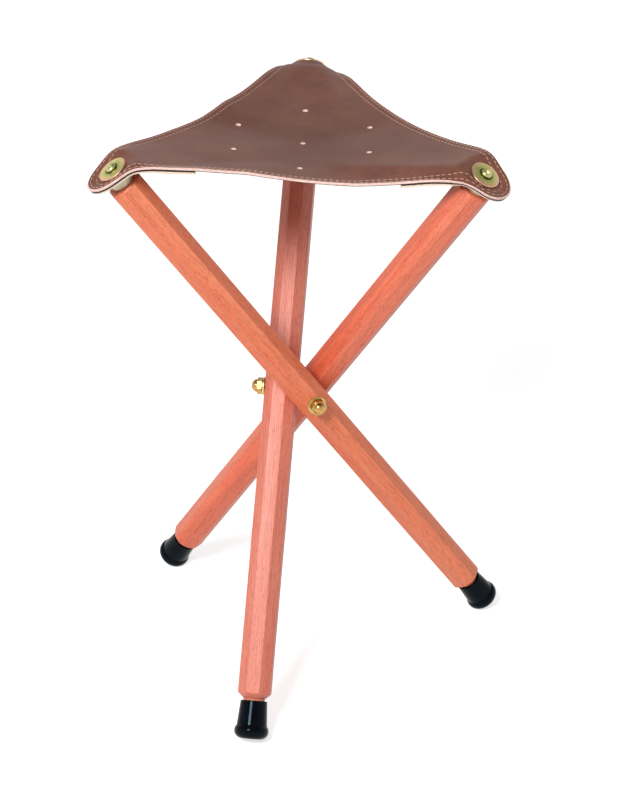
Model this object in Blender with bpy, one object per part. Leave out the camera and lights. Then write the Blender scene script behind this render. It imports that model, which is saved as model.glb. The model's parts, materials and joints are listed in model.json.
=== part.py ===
"""Folding artist stool: three octagonal legs on a three-way bolt, under a leather sling seat.

Metres, +Z up. The stool stands open on the floor at z = 0, back seat corner towards +Y.
Corner 1 is the back one, 2 the front left and 3 the front right.
"""
import bpy
import bmesh
from math import acos, atan2, cos, hypot, pi, radians, sin, sqrt, tan
from mathutils import Matrix, Vector

# The hub axis, measured from the middle of the stool's footprint box
HUB_X = -0.0062
HUB_Y = -0.0038

# Running and seating clearance between separate pieces
FIT = 0.0003

# Legs: octagonal beech, measured along the leg from the pivot hole
LEG_COUNT = 3
LEG_ACROSS_FLATS = 0.028
LEG_SIDES = 8
LEG_BELOW_PIVOT = 0.267
LEG_ABOVE_PIVOT = 0.279
LEG_TOP_CHAMFER = 0.0025
LEG_TAPER = 0.0055
SPIGOT_DIAMETER = 0.0186
SPIGOT_LENGTH = 0.021
SPIGOT_CHAMFER = 0.0015
OPEN_ANGLE = radians(35.5)
LEG_CROSSING_GAP = 0.0004

# Three-way bolt with washers and cap nuts
ARM_DIAMETER = 0.008
ARM_END_CHAMFER = 0.0008
THREAD_IN_NUT = 0.007
PIVOT_WASHER_DIAMETER = 0.016
PIVOT_WASHER_THICKNESS = 0.0016
NUT_ACROSS_FLATS = 0.013
NUT_HEX_HEIGHT = 0.0055
NUT_DOME_HEIGHT = 0.0047
NUT_DOME_DIAMETER = 0.0122
NUT_COLLAR_HEIGHT = 0.0008
NUT_EDGE_CHAMFER = 0.0007

# Rubber feet, measured down from the rim
FOOT_RIM_GAP = 0.0015
FOOT_LENGTH = 0.033
FOOT_RIM_DIAMETER = 0.0233
FOOT_NECK_DIAMETER = 0.0263
FOOT_BULB_DIAMETER = 0.0300
FOOT_BULB_ROUNDING = 0.007
FOOT_RIM_ROUNDING = 0.0005
FOOT_TREAD_DEPTH = 0.0007

# Fixings at the top of each leg
SPACER_HEIGHT = 0.008
SPACER_TOP_DIAMETER = 0.022
SPACER_BASE_DIAMETER = 0.0205
SPACER_LIP = 0.0012
SCREW_DIAMETER = 0.006
SCREW_HEAD_DIAMETER = 0.0092
SCREW_HEAD_HEIGHT = 0.0027
SCREW_HEAD_FLAT = 0.0050
SCREW_LENGTH = 0.036
SCREW_TIP_CHAMFER = 0.0008
SOCKET_ACROSS_FLATS = 0.0034
SOCKET_DEPTH = 0.0016
INSERT_DIAMETER = 0.010
INSERT_LENGTH = 0.014
INSERT_FLANGE_DIAMETER = 0.013
INSERT_FLANGE_THICKNESS = 0.0012
SEAT_WASHER_DIAMETER = 0.025
SEAT_WASHER_THICKNESS = 0.0014
SEAT_WASHER_DISH = 0.0007
SCREW_RUN_OUT = 0.004

# Leather seat: plan sizes, measured from the seat centre or from a corner's screw
LEATHER_THICKNESS = 0.0025
PATCH_THICKNESS = 0.0022
PATCH_REACH = 0.052
SEAT_WAIST = 0.094
TIP_OFFSET = 0.0055
TIP_RADIUS = 0.016
SEAT_DIP = 0.0085
EDGE_RISE = 0.0075
CORNER_RISE = 0.0225
CREST_SOFTNESS = 0.007
NECK_FROM_SCREW = 0.013
AIR_HOLE_DIAMETER = 0.0048
AIR_HOLE_RING = 0.064
# Closed, the creases stand upright beside the hub axis; the fins are turned this far round it
CREASE_FROM_AXIS = 0.004
CENTRE_FROM_AXIS = 0.003
FIN_TURN = radians(30)

# Facet sizes
ROUND_SEGMENTS = 24
SMALL_SEGMENTS = 16
ARC_STEPS = 6
SIDE_STEPS = 18
SIDE_OVERRUN = 0.2
LEATHER_CELL = 0.014
LEATHER_FINE_CELL = 0.0045
LEATHER_FINE_REACH = 0.048
SMOOTH_ANGLE = radians(32)

# Worked out from the sizes above
HALF_LEG = LEG_ACROSS_FLATS / 2
LEG_CORNER = HALF_LEG / cos(pi / LEG_SIDES)
UP = Vector((0, 0, 1))
# Two leg axes stay this far apart for each unit of arm radius, at the open angle
LEG_SPREAD = 3 / sqrt(3 + 0.75 * tan(OPEN_ANGLE) ** 2)
ARM_RADIUS = (2 * LEG_CORNER + LEG_CROSSING_GAP) / LEG_SPREAD
KNUCKLE_RADIUS = ARM_RADIUS - HALF_LEG - FIT
WASHER_BASE = ARM_RADIUS + HALF_LEG + FIT
NUT_BASE = WASHER_BASE + PIVOT_WASHER_THICKNESS + FIT
ARM_LENGTH = NUT_BASE + THREAD_IN_NUT
ARM_HOLE_RADIUS = ARM_DIAMETER / 2 + FIT

FOOT_RIM = LEG_BELOW_PIVOT + LEG_TAPER + FOOT_RIM_GAP
BULB_CENTRE = FOOT_RIM + FOOT_LENGTH - FOOT_BULB_ROUNDING
BULB_CORE = FOOT_BULB_DIAMETER / 2 - FOOT_BULB_ROUNDING
HUB_HEIGHT = (BULB_CENTRE * cos(OPEN_ANGLE) + BULB_CORE * sin(OPEN_ANGLE)
              + FOOT_BULB_ROUNDING - FOOT_TREAD_DEPTH)

SPACER_BASE = LEG_ABOVE_PIVOT + FIT
PATCH_BASE = SPACER_BASE + SPACER_HEIGHT + FIT
LEATHER_BASE = PATCH_BASE + PATCH_THICKNESS + FIT
LEATHER_MIDDLE = LEATHER_BASE + LEATHER_THICKNESS / 2
SEAT_WASHER_BASE = LEATHER_BASE + LEATHER_THICKNESS + FIT
SCREW_SEAT = SEAT_WASHER_BASE + SEAT_WASHER_DISH + SEAT_WASHER_THICKNESS + FIT
SCREW_HOLE_RADIUS = SCREW_DIAMETER / 2 + FIT

# The leg, seen from its own seat corner: x outwards, y to the left, z up, from the hub centre
CORNER_LEAD = atan2(ARM_RADIUS, LEATHER_MIDDLE * sin(OPEN_ANGLE))
ARM = Vector((sin(CORNER_LEAD), cos(CORNER_LEAD), 0))
LEAN = Vector((cos(CORNER_LEAD), -sin(CORNER_LEAD), 0))
LEG_AXIS = LEAN * sin(OPEN_ANGLE) + UP * cos(OPEN_ANGLE)
SCREW_POINT = ARM * ARM_RADIUS + LEG_AXIS * LEATHER_MIDDLE
SCREW_REACH = SCREW_POINT.x
SEAT_CENTRE_Z = SCREW_POINT.z - SEAT_DIP
# The bowl of the seat: a dish with three rising corners, through the two stated rises
TREFOIL = ((CORNER_RISE / SCREW_REACH ** 2 - EDGE_RISE / SEAT_WAIST ** 2)
           / (SCREW_REACH + SEAT_WAIST))
DISH = EDGE_RISE / SEAT_WAIST ** 2 + TREFOIL * SEAT_WAIST
NECK_X = SCREW_REACH - NECK_FROM_SCREW * cos(OPEN_ANGLE)
THIRD = 2 * pi / LEG_COUNT
SIXTH = THIRD / 2
# The leg's turn from open to upright, and the leather's crease point before and after it
FOLD = Matrix.Rotation(OPEN_ANGLE, 3, LEG_AXIS.cross(UP))
CREASE_CLOSED = Vector((CREASE_FROM_AXIS * cos(FIN_TURN), CREASE_FROM_AXIS * sin(FIN_TURN),
                        (FOLD @ SCREW_POINT).z))
CREASE_POINT = FOLD.transposed() @ CREASE_CLOSED
CREASE_AZIMUTH = atan2(CREASE_POINT.y, CREASE_POINT.x)


def clear_scene():
    """Start from nothing."""
    for item in list(bpy.data.objects):
        bpy.data.objects.remove(item)


def finish_material(name, colour, roughness, metallic):
    """A Principled material with one colour."""
    finish = bpy.data.materials.new(name)
    finish.use_nodes = True
    shader = finish.node_tree.nodes["Principled BSDF"]
    shader.inputs["Base Color"].default_value = (*colour, 1)
    shader.inputs["Roughness"].default_value = roughness
    shader.inputs["Metallic"].default_value = metallic
    return finish


def mesh_from(shape, name):
    """Turn a bmesh into a mesh, shaded smooth up to the smoothing angle."""
    bmesh.ops.recalc_face_normals(shape, faces=shape.faces)
    mesh = bpy.data.meshes.new(name)
    shape.to_mesh(mesh)
    shape.free()
    mesh.shade_smooth()
    mesh.set_sharp_from_angle(angle=SMOOTH_ANGLE)
    return mesh


def place(name, mesh, colour, roughness, metallic, parent=None):
    """Put a mesh into the scene as a named piece with a material of its own."""
    piece = bpy.data.objects.new(name, mesh)
    bpy.context.collection.objects.link(piece)
    if not mesh.materials:
        mesh.materials.append(None)
    piece.material_slots[0].link = "OBJECT"
    piece.material_slots[0].material = finish_material(name, colour, roughness, metallic)
    piece.parent = parent
    return piece


def empty_at(name, matrix, parent=None):
    """A pivot that carries pieces; the matrix is in the parent's frame."""
    pivot = bpy.data.objects.new(name, None)
    bpy.context.collection.objects.link(pivot)
    pivot.parent = parent
    pivot.matrix_basis = matrix
    return pivot


def turned(name, profile, segments):
    """Spin a closed outline of (radius, height) points about Z into a solid."""
    shape = bmesh.new()
    ring = [shape.verts.new((radius, 0, height)) for radius, height in profile]
    pairs = list(zip(ring, ring[1:]))
    if profile[0][0] > 0 or profile[-1][0] > 0:
        pairs.append((ring[-1], ring[0]))
    edges = [shape.edges.new(pair) for pair in pairs]
    bmesh.ops.spin(shape, geom=ring + edges, cent=(0, 0, 0), axis=(0, 0, 1),
                   angle=2 * pi, steps=segments)
    bmesh.ops.remove_doubles(shape, verts=shape.verts, dist=1e-6)
    return mesh_from(shape, name)


def prism(name, sides, across_flats, low, high):
    """A regular prism about Z with a flat facing +X."""
    shape = bmesh.new()
    corner = across_flats / 2 / cos(pi / sides)
    angles = [(step + 0.5) * 2 * pi / sides for step in range(sides)]
    base = shape.faces.new([shape.verts.new((corner * cos(a), corner * sin(a), low)) for a in angles])
    grown = bmesh.ops.extrude_face_region(shape, geom=[base])
    top = [item for item in grown["geom"] if isinstance(item, bmesh.types.BMVert)]
    bmesh.ops.translate(shape, verts=top, vec=(0, 0, high - low))
    return mesh_from(shape, name)


def rod(name, radius, low, high, segments):
    """A plain round rod about Z."""
    return turned(name, [(0, low), (radius, low), (radius, high), (0, high)], segments)


def moved(mesh, matrix):
    """The same mesh, carried to another place."""
    mesh.transform(matrix)
    return mesh


def combined(name, base, *steps):
    """Apply Boolean steps, each (operation, mesh), to a mesh and give the result."""
    body = bpy.data.objects.new(name, base)
    bpy.context.collection.objects.link(body)
    tools = []
    for operation, tool_mesh in steps:
        tool = bpy.data.objects.new(name + "_cutter", tool_mesh)
        bpy.context.collection.objects.link(tool)
        tool.hide_render = True
        tool.display_type = "WIRE"
        cut = body.modifiers.new(operation, "BOOLEAN")
        cut.operation = operation
        cut.solver = "EXACT"
        cut.object = tool
        tools.append(tool)
    view = bpy.context.evaluated_depsgraph_get()
    mesh = bpy.data.meshes.new_from_object(body.evaluated_get(view))
    mesh.name = name
    for item in [body] + tools:
        bpy.data.objects.remove(item)
    mesh.shade_smooth()
    mesh.set_sharp_from_angle(angle=SMOOTH_ANGLE)
    return mesh


def direction(azimuth):
    """A unit step in plan."""
    return Vector((cos(azimuth), sin(azimuth)))


def arc(centre, radius, start, end, steps):
    """Points on a circle, in whatever plane the centre is given."""
    angles = [start + (end - start) * step / steps for step in range(steps + 1)]
    return [(centre[0] + radius * cos(a), centre[1] + radius * sin(a)) for a in angles]


TURN_TO_ARM = Matrix.Rotation(pi / 2, 4, "Y")


def leg_mesh():
    """Octagonal stock, turned at both ends, bored for the pivot arm and the top insert."""
    top = LEG_ABOVE_PIVOT
    shoulder = -LEG_BELOW_PIVOT
    spigot_top = shoulder - LEG_TAPER
    spigot_end = spigot_top - SPIGOT_LENGTH
    spigot = SPIGOT_DIAMETER / 2
    clear = LEG_CORNER + FIT
    envelope = [(0, top), (HALF_LEG - LEG_TOP_CHAMFER / 2, top), (clear, top - LEG_TOP_CHAMFER),
                (clear, shoulder), (spigot, spigot_top), (spigot, spigot_end + SPIGOT_CHAMFER),
                (spigot - SPIGOT_CHAMFER, spigot_end), (0, spigot_end)]
    pivot_hole = rod("pivot_hole", ARM_HOLE_RADIUS, -LEG_ACROSS_FLATS, LEG_ACROSS_FLATS, SMALL_SEGMENTS)
    insert_seat = top - INSERT_FLANGE_THICKNESS - FIT
    insert_end = insert_seat - INSERT_LENGTH - FIT
    screw_end = SCREW_SEAT - SCREW_LENGTH - SCREW_RUN_OUT
    flange = INSERT_FLANGE_DIAMETER / 2 + FIT
    sleeve = INSERT_DIAMETER / 2 + FIT
    bore = [(0, top + FIT), (flange, top + FIT), (flange, insert_seat - FIT), (sleeve, insert_seat - FIT),
            (sleeve, insert_end), (SCREW_HOLE_RADIUS, insert_end), (SCREW_HOLE_RADIUS, screw_end),
            (0, screw_end)]
    return combined("leg", prism("stock", LEG_SIDES, LEG_ACROSS_FLATS, spigot_end - FIT, top + FIT),
                    ("INTERSECT", turned("lathe_envelope", envelope, ROUND_SEGMENTS)),
                    ("DIFFERENCE", moved(pivot_hole, TURN_TO_ARM)),
                    ("DIFFERENCE", turned("insert_bore", bore, SMALL_SEGMENTS)))


def foot_mesh():
    """Rubber ferrule on the spigot, bulbous at the floor and worn flat where it stands."""
    bore = SPIGOT_DIAMETER / 2 + FIT
    bore_end = -(LEG_BELOW_PIVOT + LEG_TAPER + SPIGOT_LENGTH + FIT)
    rim = FOOT_RIM_DIAMETER / 2
    neck = FOOT_NECK_DIAMETER / 2
    neck_angle = acos((neck - BULB_CORE) / FOOT_BULB_ROUNDING)
    bulb = arc((BULB_CORE, -BULB_CENTRE), FOOT_BULB_ROUNDING, neck_angle, -pi / 2, ARC_STEPS * 2)
    profile = [(0, bore_end), (bore, bore_end), (bore, -FOOT_RIM), (rim - FOOT_RIM_ROUNDING, -FOOT_RIM),
               (rim, -FOOT_RIM - FOOT_RIM_ROUNDING)] + bulb + [(0, bulb[-1][1])]
    mesh = turned("foot_blank", profile, ROUND_SEGMENTS)
    shape = bmesh.new()
    shape.from_mesh(mesh)
    # The floor, seen from the leg: its upward direction leans by the open angle about the arm
    floor_up = Vector((0, sin(OPEN_ANGLE), cos(OPEN_ANGLE)))
    cut = bmesh.ops.bisect_plane(shape, geom=shape.verts[:] + shape.edges[:] + shape.faces[:], dist=1e-6,
                                 plane_co=floor_up * -HUB_HEIGHT, plane_no=-floor_up, clear_outer=True)
    rim_edges = [item for item in cut["geom_cut"] if isinstance(item, bmesh.types.BMEdge)]
    bmesh.ops.edgeloop_fill(shape, edges=rim_edges)
    return mesh_from(shape, "foot")


def bolt_mesh():
    """Three arms from one knuckle, each with a chamfered end."""
    radius = ARM_DIAMETER / 2
    profile = [(0, 0), (radius, 0), (radius, ARM_LENGTH - ARM_END_CHAMFER),
               (radius - ARM_END_CHAMFER, ARM_LENGTH), (0, ARM_LENGTH)]
    arms = []
    for index in range(LEG_COUNT):
        azimuth = corner_azimuth(index) + pi / 2 - CORNER_LEAD
        arm = turned("arm", profile, SMALL_SEGMENTS)
        arms.append(moved(arm, Matrix.Rotation(azimuth, 4, "Z") @ TURN_TO_ARM))
    ball = arc((0, 0), KNUCKLE_RADIUS, pi / 2, -pi / 2, ARC_STEPS * 2)
    ball[0] = (0, KNUCKLE_RADIUS)
    ball[-1] = (0, -KNUCKLE_RADIUS)
    return combined("bolt", turned("knuckle", ball, SMALL_SEGMENTS), *[("UNION", arm) for arm in arms])


def ring_mesh(name, inner, outer, low, high):
    """A flat washer about Z."""
    return turned(name, [(inner, low), (outer, low), (outer, high), (inner, high)], ROUND_SEGMENTS)


def nut_mesh():
    """Low cap nut: chamfered hexagon, short collar, domed crown and blind thread bore."""
    hex_top = NUT_BASE + NUT_HEX_HEIGHT
    collar_top = hex_top + NUT_COLLAR_HEIGHT
    crown = NUT_BASE + NUT_HEX_HEIGHT + NUT_DOME_HEIGHT
    dome = NUT_DOME_DIAMETER / 2
    height = crown - collar_top
    crown_points = [(dome * cos(a), collar_top + height * sin(a))
                    for a in [pi / 2 * step / ARC_STEPS for step in range(ARC_STEPS)]]
    corner = NUT_ACROSS_FLATS / 2 / cos(pi / 6) + FIT
    shoulder = NUT_ACROSS_FLATS / 2
    envelope = [(0, NUT_BASE), (shoulder, NUT_BASE), (corner, NUT_BASE + NUT_EDGE_CHAMFER),
                (corner, hex_top - NUT_EDGE_CHAMFER), (shoulder, hex_top), (dome, hex_top)]
    envelope += crown_points + [(0, crown)]
    bore_end = ARM_LENGTH + FIT
    bore = rod("thread_bore", ARM_HOLE_RADIUS, NUT_BASE - FIT, bore_end, SMALL_SEGMENTS)
    return combined("nut", prism("hexagon", 6, NUT_ACROSS_FLATS, NUT_BASE - FIT, crown + FIT),
                    ("INTERSECT", turned("crown", envelope, ROUND_SEGMENTS)),
                    ("DIFFERENCE", bore))


def spacer_mesh():
    """Tapered collar that lifts the leather clear of the leg end."""
    hole = SCREW_HOLE_RADIUS
    base = SPACER_BASE_DIAMETER / 2
    top = SPACER_TOP_DIAMETER / 2
    high = SPACER_BASE + SPACER_HEIGHT
    profile = [(hole, SPACER_BASE), (base, SPACER_BASE), (base, SPACER_BASE + SPACER_LIP),
               (top, high - SPACER_LIP), (top, high), (hole, high)]
    return turned("spacer", profile, ROUND_SEGMENTS)


def insert_mesh():
    """Flanged thread insert let into the leg end."""
    high = LEG_ABOVE_PIVOT - FIT
    seat = high - INSERT_FLANGE_THICKNESS
    low = seat - INSERT_LENGTH + FIT
    flange = INSERT_FLANGE_DIAMETER / 2
    sleeve = INSERT_DIAMETER / 2
    profile = [(SCREW_HOLE_RADIUS, low), (sleeve, low), (sleeve, seat), (flange, seat), (flange, high),
               (SCREW_HOLE_RADIUS, high)]
    return turned("insert", profile, SMALL_SEGMENTS)


def screw_mesh():
    """Button-head screw with a hexagon socket."""
    shank = SCREW_DIAMETER / 2
    head = SCREW_HEAD_DIAMETER / 2
    flat = SCREW_HEAD_FLAT / 2
    tip = SCREW_SEAT - SCREW_LENGTH
    crown = SCREW_SEAT + SCREW_HEAD_HEIGHT
    dome = [(flat + (head - flat) * cos(a), SCREW_SEAT + SCREW_HEAD_HEIGHT * sin(a))
            for a in [pi / 2 * step / ARC_STEPS for step in range(ARC_STEPS + 1)]]
    profile = [(0, tip), (shank - SCREW_TIP_CHAMFER, tip), (shank, tip + SCREW_TIP_CHAMFER),
               (shank, SCREW_SEAT)] + dome + [(0, crown)]
    socket = prism("socket", 6, SOCKET_ACROSS_FLATS, crown - SOCKET_DEPTH, crown + SOCKET_DEPTH)
    return combined("screw", turned("screw_blank", profile, SMALL_SEGMENTS), ("DIFFERENCE", socket))


def seat_washer_mesh():
    """Dished washer: the rim bears on the leather and the middle stands proud under the head."""
    hole = SCREW_HOLE_RADIUS
    rim = SEAT_WASHER_DIAMETER / 2
    low = SEAT_WASHER_BASE
    high = low + SEAT_WASHER_THICKNESS
    land = SCREW_HEAD_DIAMETER / 2 + FIT
    profile = [(hole, low + SEAT_WASHER_DISH), (land, low + SEAT_WASHER_DISH), (rim, low), (rim, high),
               (land, high + SEAT_WASHER_DISH), (hole, high + SEAT_WASHER_DISH)]
    return turned("seat_washer", profile, ROUND_SEGMENTS)


def smooth_lower(one, other, softness):
    """The lower of two heights, rounded over where they meet."""
    share = max(softness - abs(one - other), 0) / softness
    return min(one, other) - share * share * softness / 4


def clamp_height(x, y):
    """Height of the leather where it is clamped square to the leg."""
    return SCREW_POINT.z - (LEG_AXIS.x * (x - SCREW_REACH) + LEG_AXIS.y * y) / LEG_AXIS.z


def seat_height(x, y):
    """Height of the leather's middle layer: the seat's bowl, turned down at the clamped corner."""
    reach = hypot(x, y)
    lobes = cos(LEG_COUNT * atan2(y, x))
    bowl = SEAT_CENTRE_Z + DISH * reach ** 2 + TREFOIL * reach ** 3 * lobes
    return smooth_lower(bowl, clamp_height(x, y), CREST_SOFTNESS)


def side_arc():
    """One concave side, from past its middle to the rounded tip, then round the tip to its end."""
    tip = Vector((SCREW_REACH + TIP_OFFSET, 0))
    spare = tip.x + 2 * TIP_RADIUS - 2 * SEAT_WAIST
    radius = (SEAT_WAIST ** 2 - tip.x * SEAT_WAIST + tip.x ** 2 - TIP_RADIUS ** 2) / spare
    hollow = 1 if radius > 0 else -1
    centre = direction(SIXTH) * (SEAT_WAIST + radius)
    towards = (centre - tip).normalized() * hollow
    middle = direction(SIXTH) * -hollow
    sweep = middle.angle_signed((tip + towards * TIP_RADIUS - centre).normalized())
    start = atan2(middle.y, middle.x)
    side = arc(centre, abs(radius), start + sweep * SIDE_OVERRUN, start - sweep, SIDE_STEPS)
    return side + arc(tip, TIP_RADIUS, atan2(towards.y, towards.x), 0, ARC_STEPS)[1:]


def cut_away(shape, point, outward):
    """Remove what lies beyond a plane."""
    bmesh.ops.bisect_plane(shape, geom=shape.verts[:] + shape.edges[:] + shape.faces[:], dist=1e-7,
                           plane_co=point, plane_no=outward, clear_outer=True)


def score(shape, point, across):
    """Cut the sheet along a line without parting it."""
    bmesh.ops.bisect_plane(shape, geom=shape.verts[:] + shape.edges[:] + shape.faces[:], dist=1e-6,
                           plane_co=point, plane_no=across)


def score_cells(shape):
    """Divide a flat sheet into cells, finer along the bend at the corner."""
    fine_start = SCREW_REACH - LEATHER_FINE_REACH
    stops = []
    x = 0.0
    while x < SCREW_REACH + TIP_OFFSET + TIP_RADIUS:
        x += LEATHER_CELL if x < fine_start else LEATHER_FINE_CELL
        stops.append(x)
    for stop in stops:
        score(shape, (stop, 0, 0), (1, 0, 0))
    rows = int(SEAT_WAIST / LEATHER_CELL) + 1
    for row in range(-rows, rows + 1):
        score(shape, (0, (row + 0.5) * LEATHER_CELL, 0), (0, 1, 0))


def shaped_sheet(name, shape, below, thickness):
    """Lay a flat sheet on the seat's surface, a distance below it, and give it its thickness."""
    step = LEATHER_THICKNESS / 10
    bmesh.ops.triangulate(shape, faces=shape.faces)
    upper_faces = shape.faces[:]
    rim = [edge for edge in shape.edges if edge.is_boundary]
    under = {}
    for vert in shape.verts[:]:
        x, y = vert.co.x, vert.co.y
        slope_x = (seat_height(x + step, y) - seat_height(x - step, y)) / (2 * step)
        slope_y = (seat_height(x, y + step) - seat_height(x, y - step)) / (2 * step)
        normal = Vector((-slope_x, -slope_y, 1)).normalized()
        middle = Vector((x, y, seat_height(x, y))) - normal * below
        vert.co = middle + normal * (thickness / 2)
        under[vert] = shape.verts.new(middle - normal * (thickness / 2))
    for face in upper_faces:
        shape.faces.new([under[vert] for vert in face.verts])
    for edge in rim:
        one, two = edge.verts
        shape.faces.new((one, two, under[two], under[one]))
    return mesh_from(shape, name)


def corner_shape():
    """The flat outline of one corner's share of the seat, running over into its neighbours."""
    half = side_arc()
    outline = [(0, 0)] + half + [(x, -y) for x, y in half[-2::-1]]
    shape = bmesh.new()
    shape.faces.new([shape.verts.new((x, y, 0)) for x, y in outline])
    return shape


def drill(x, y, radius, axis):
    """A round cutter through the leather at a plan point."""
    tool = rod("drill", radius, -SPACER_HEIGHT, SPACER_HEIGHT, SMALL_SEGMENTS)
    lean = axis.to_track_quat("Z", "Y").to_matrix().to_4x4()
    return moved(tool, Matrix.Translation((x, y, seat_height(x, y))) @ lean)


def panel_mesh(name, side):
    """The leather on one side of a corner's crease, as far as the fold to the next corner."""
    shape = corner_shape()
    half_gap = FIT / 2
    crease = direction(CREASE_AZIMUTH)
    beyond_crease = Vector((crease.y, -crease.x, 0)) * side
    cut_away(shape, beyond_crease * -half_gap, beyond_crease)
    fold = direction(CREASE_AZIMUTH + side * SIXTH)
    beyond_fold = Vector((-fold.y, fold.x, 0)) * side
    cut_away(shape, beyond_fold * -half_gap, beyond_fold)
    cut_away(shape, (NECK_X - half_gap, 0, 0), (1, 0, 0))
    score_cells(shape)
    sheet = shaped_sheet(name, shape, 0, LEATHER_THICKNESS)
    hole = direction(0 if side > 0 else -SIXTH) * AIR_HOLE_RING
    radius = AIR_HOLE_DIAMETER / 2
    return combined(name, sheet, ("DIFFERENCE", drill(0, 0, radius, UP)),
                    ("DIFFERENCE", drill(hole.x, hole.y, radius, UP)))


def corner_sheet(name, inner_x, below, thickness):
    """A leather corner with its screw hole, cut off square at inner_x."""
    shape = corner_shape()
    cut_away(shape, (inner_x, 0, 0), (-1, 0, 0))
    score_cells(shape)
    sheet = shaped_sheet(name, shape, below, thickness)
    return combined(name, sheet, ("DIFFERENCE", drill(SCREW_REACH, 0, SCREW_HOLE_RADIUS, LEG_AXIS)))


def corner_azimuth(index):
    """Direction of a seat corner, the first one at the back."""
    return pi / 2 + index * THIRD


def corner_frame(index):
    """From a corner's own frame at the hub centre to the world."""
    return Matrix.Translation((HUB_X, HUB_Y, HUB_HEIGHT)) @ Matrix.Rotation(corner_azimuth(index), 4, "Z")


def basis(along, beside):
    """A turn whose first column is along, and whose second lies towards beside."""
    first = along.normalized()
    second = (beside - first * beside.dot(first)).normalized()
    return Matrix((first, second, first.cross(second))).transposed()


def leg_frame():
    """The open leg in its corner's frame: X on the arm, Z up the leg, at the pivot."""
    turn = Matrix((ARM, LEG_AXIS.cross(ARM), LEG_AXIS)).transposed()
    return Matrix.Translation(ARM * ARM_RADIUS) @ turn.to_4x4()


def panel_hinge(side):
    """How one leather panel bends on its leg: a turn about the crease point, as axis and angle.

    Closed, the legs stand upright and the seat's middle stands above them beside the hub axis.
    The crease from a corner to the middle then stands upright too, and the six panels make three
    double fins between the corners.
    """
    fold = direction(CREASE_AZIMUTH + side * SIXTH) * SEAT_WAIST
    centre = Vector((0, 0, SEAT_CENTRE_Z))
    edge = Vector((fold.x, fold.y, seat_height(fold.x, fold.y)))
    span = (centre - CREASE_POINT).length
    shift = CREASE_FROM_AXIS - CENTRE_FROM_AXIS
    beside = direction(FIN_TURN) * CENTRE_FROM_AXIS
    raised = Vector((beside.x, beside.y, CREASE_CLOSED.z + sqrt(span ** 2 - shift ** 2)))
    fin = direction(FIN_TURN + side * SIXTH).to_3d()
    before = basis(centre - CREASE_POINT, edge - centre)
    after = basis(raised - CREASE_CLOSED, fin)
    turn = FOLD.transposed() @ after @ before.transposed()
    return turn.to_quaternion().to_axis_angle()


def build():
    """Make every piece."""
    clear_scene()
    brass = ((0.72, 0.50, 0.16), 0.25, 1.0)
    zinc = ((0.70, 0.62, 0.36), 0.3, 1.0)
    pale_zinc = ((0.78, 0.72, 0.58), 0.45, 0.6)
    beech = ((0.78, 0.25, 0.13), 0.55, 0.0)
    rubber = ((0.012, 0.014, 0.018), 0.3, 0.0)
    leather = ((0.20, 0.105, 0.08), 0.55, 0.0)
    patch = ((0.28, 0.15, 0.12), 0.7, 0.0)

    hub = empty_at("hub", Matrix.Translation((HUB_X, HUB_Y, HUB_HEIGHT)))
    place("three_way_bolt", bolt_mesh(), *zinc, parent=hub)

    washer = moved(ring_mesh("pivot_washer", ARM_HOLE_RADIUS, PIVOT_WASHER_DIAMETER / 2, WASHER_BASE,
                             WASHER_BASE + PIVOT_WASHER_THICKNESS), TURN_TO_ARM)
    nut = moved(nut_mesh(), TURN_TO_ARM)
    on_leg = [("leg", leg_mesh(), beech), ("rubber_foot", foot_mesh(), rubber),
              ("seat_spacer", spacer_mesh(), pale_zinc), ("threaded_insert", insert_mesh(), brass),
              ("seat_screw", screw_mesh(), zinc), ("seat_washer", seat_washer_mesh(), zinc)]
    patch_below = LEATHER_THICKNESS / 2 + FIT + PATCH_THICKNESS / 2
    patch_end = SCREW_REACH - PATCH_REACH
    on_corner = [("corner_patch", corner_sheet("patch", patch_end, patch_below, PATCH_THICKNESS), patch),
                 ("seat_corner", corner_sheet("corner", NECK_X + FIT / 2, 0, LEATHER_THICKNESS), leather)]
    panels = [("left", 1, panel_mesh("panel_left", 1)), ("right", -1, panel_mesh("panel_right", -1))]

    for index in range(LEG_COUNT):
        number = index + 1
        corner = corner_frame(index)
        arm_turn = Matrix.Rotation(corner_azimuth(index) + pi / 2 - CORNER_LEAD, 4, "Z")
        arm = empty_at(f"arm_{number}", arm_turn, hub)
        place(f"pivot_washer_{number}", washer, *zinc, parent=arm)
        place(f"acorn_nut_{number}", nut, *brass, parent=arm)
        pivot = empty_at(f"leg_pivot_{number}", corner @ leg_frame())
        for name, mesh, finish in on_leg:
            place(f"{name}_{number}", mesh, *finish, parent=pivot)
        to_corner = leg_frame().inverted()
        for name, mesh, finish in on_corner:
            place(f"{name}_{number}", mesh, *finish, parent=pivot).matrix_basis = to_corner
        for word, side, mesh in panels:
            axis = panel_hinge(side)[0]
            hinge = Matrix.Translation(CREASE_POINT) @ axis.to_track_quat("Z", "Y").to_matrix().to_4x4()
            fold = empty_at(f"panel_hinge_{number}_{word}", to_corner @ hinge, pivot)
            place(f"seat_panel_{number}_{word}", mesh, *leather, parent=fold).matrix_basis = hinge.inverted()


build()
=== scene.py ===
import json
from math import acos, atan2, cos, pi, radians, sin, sqrt

import bmesh
import bpy
import numpy as np
from mathutils import Matrix, Vector


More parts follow.
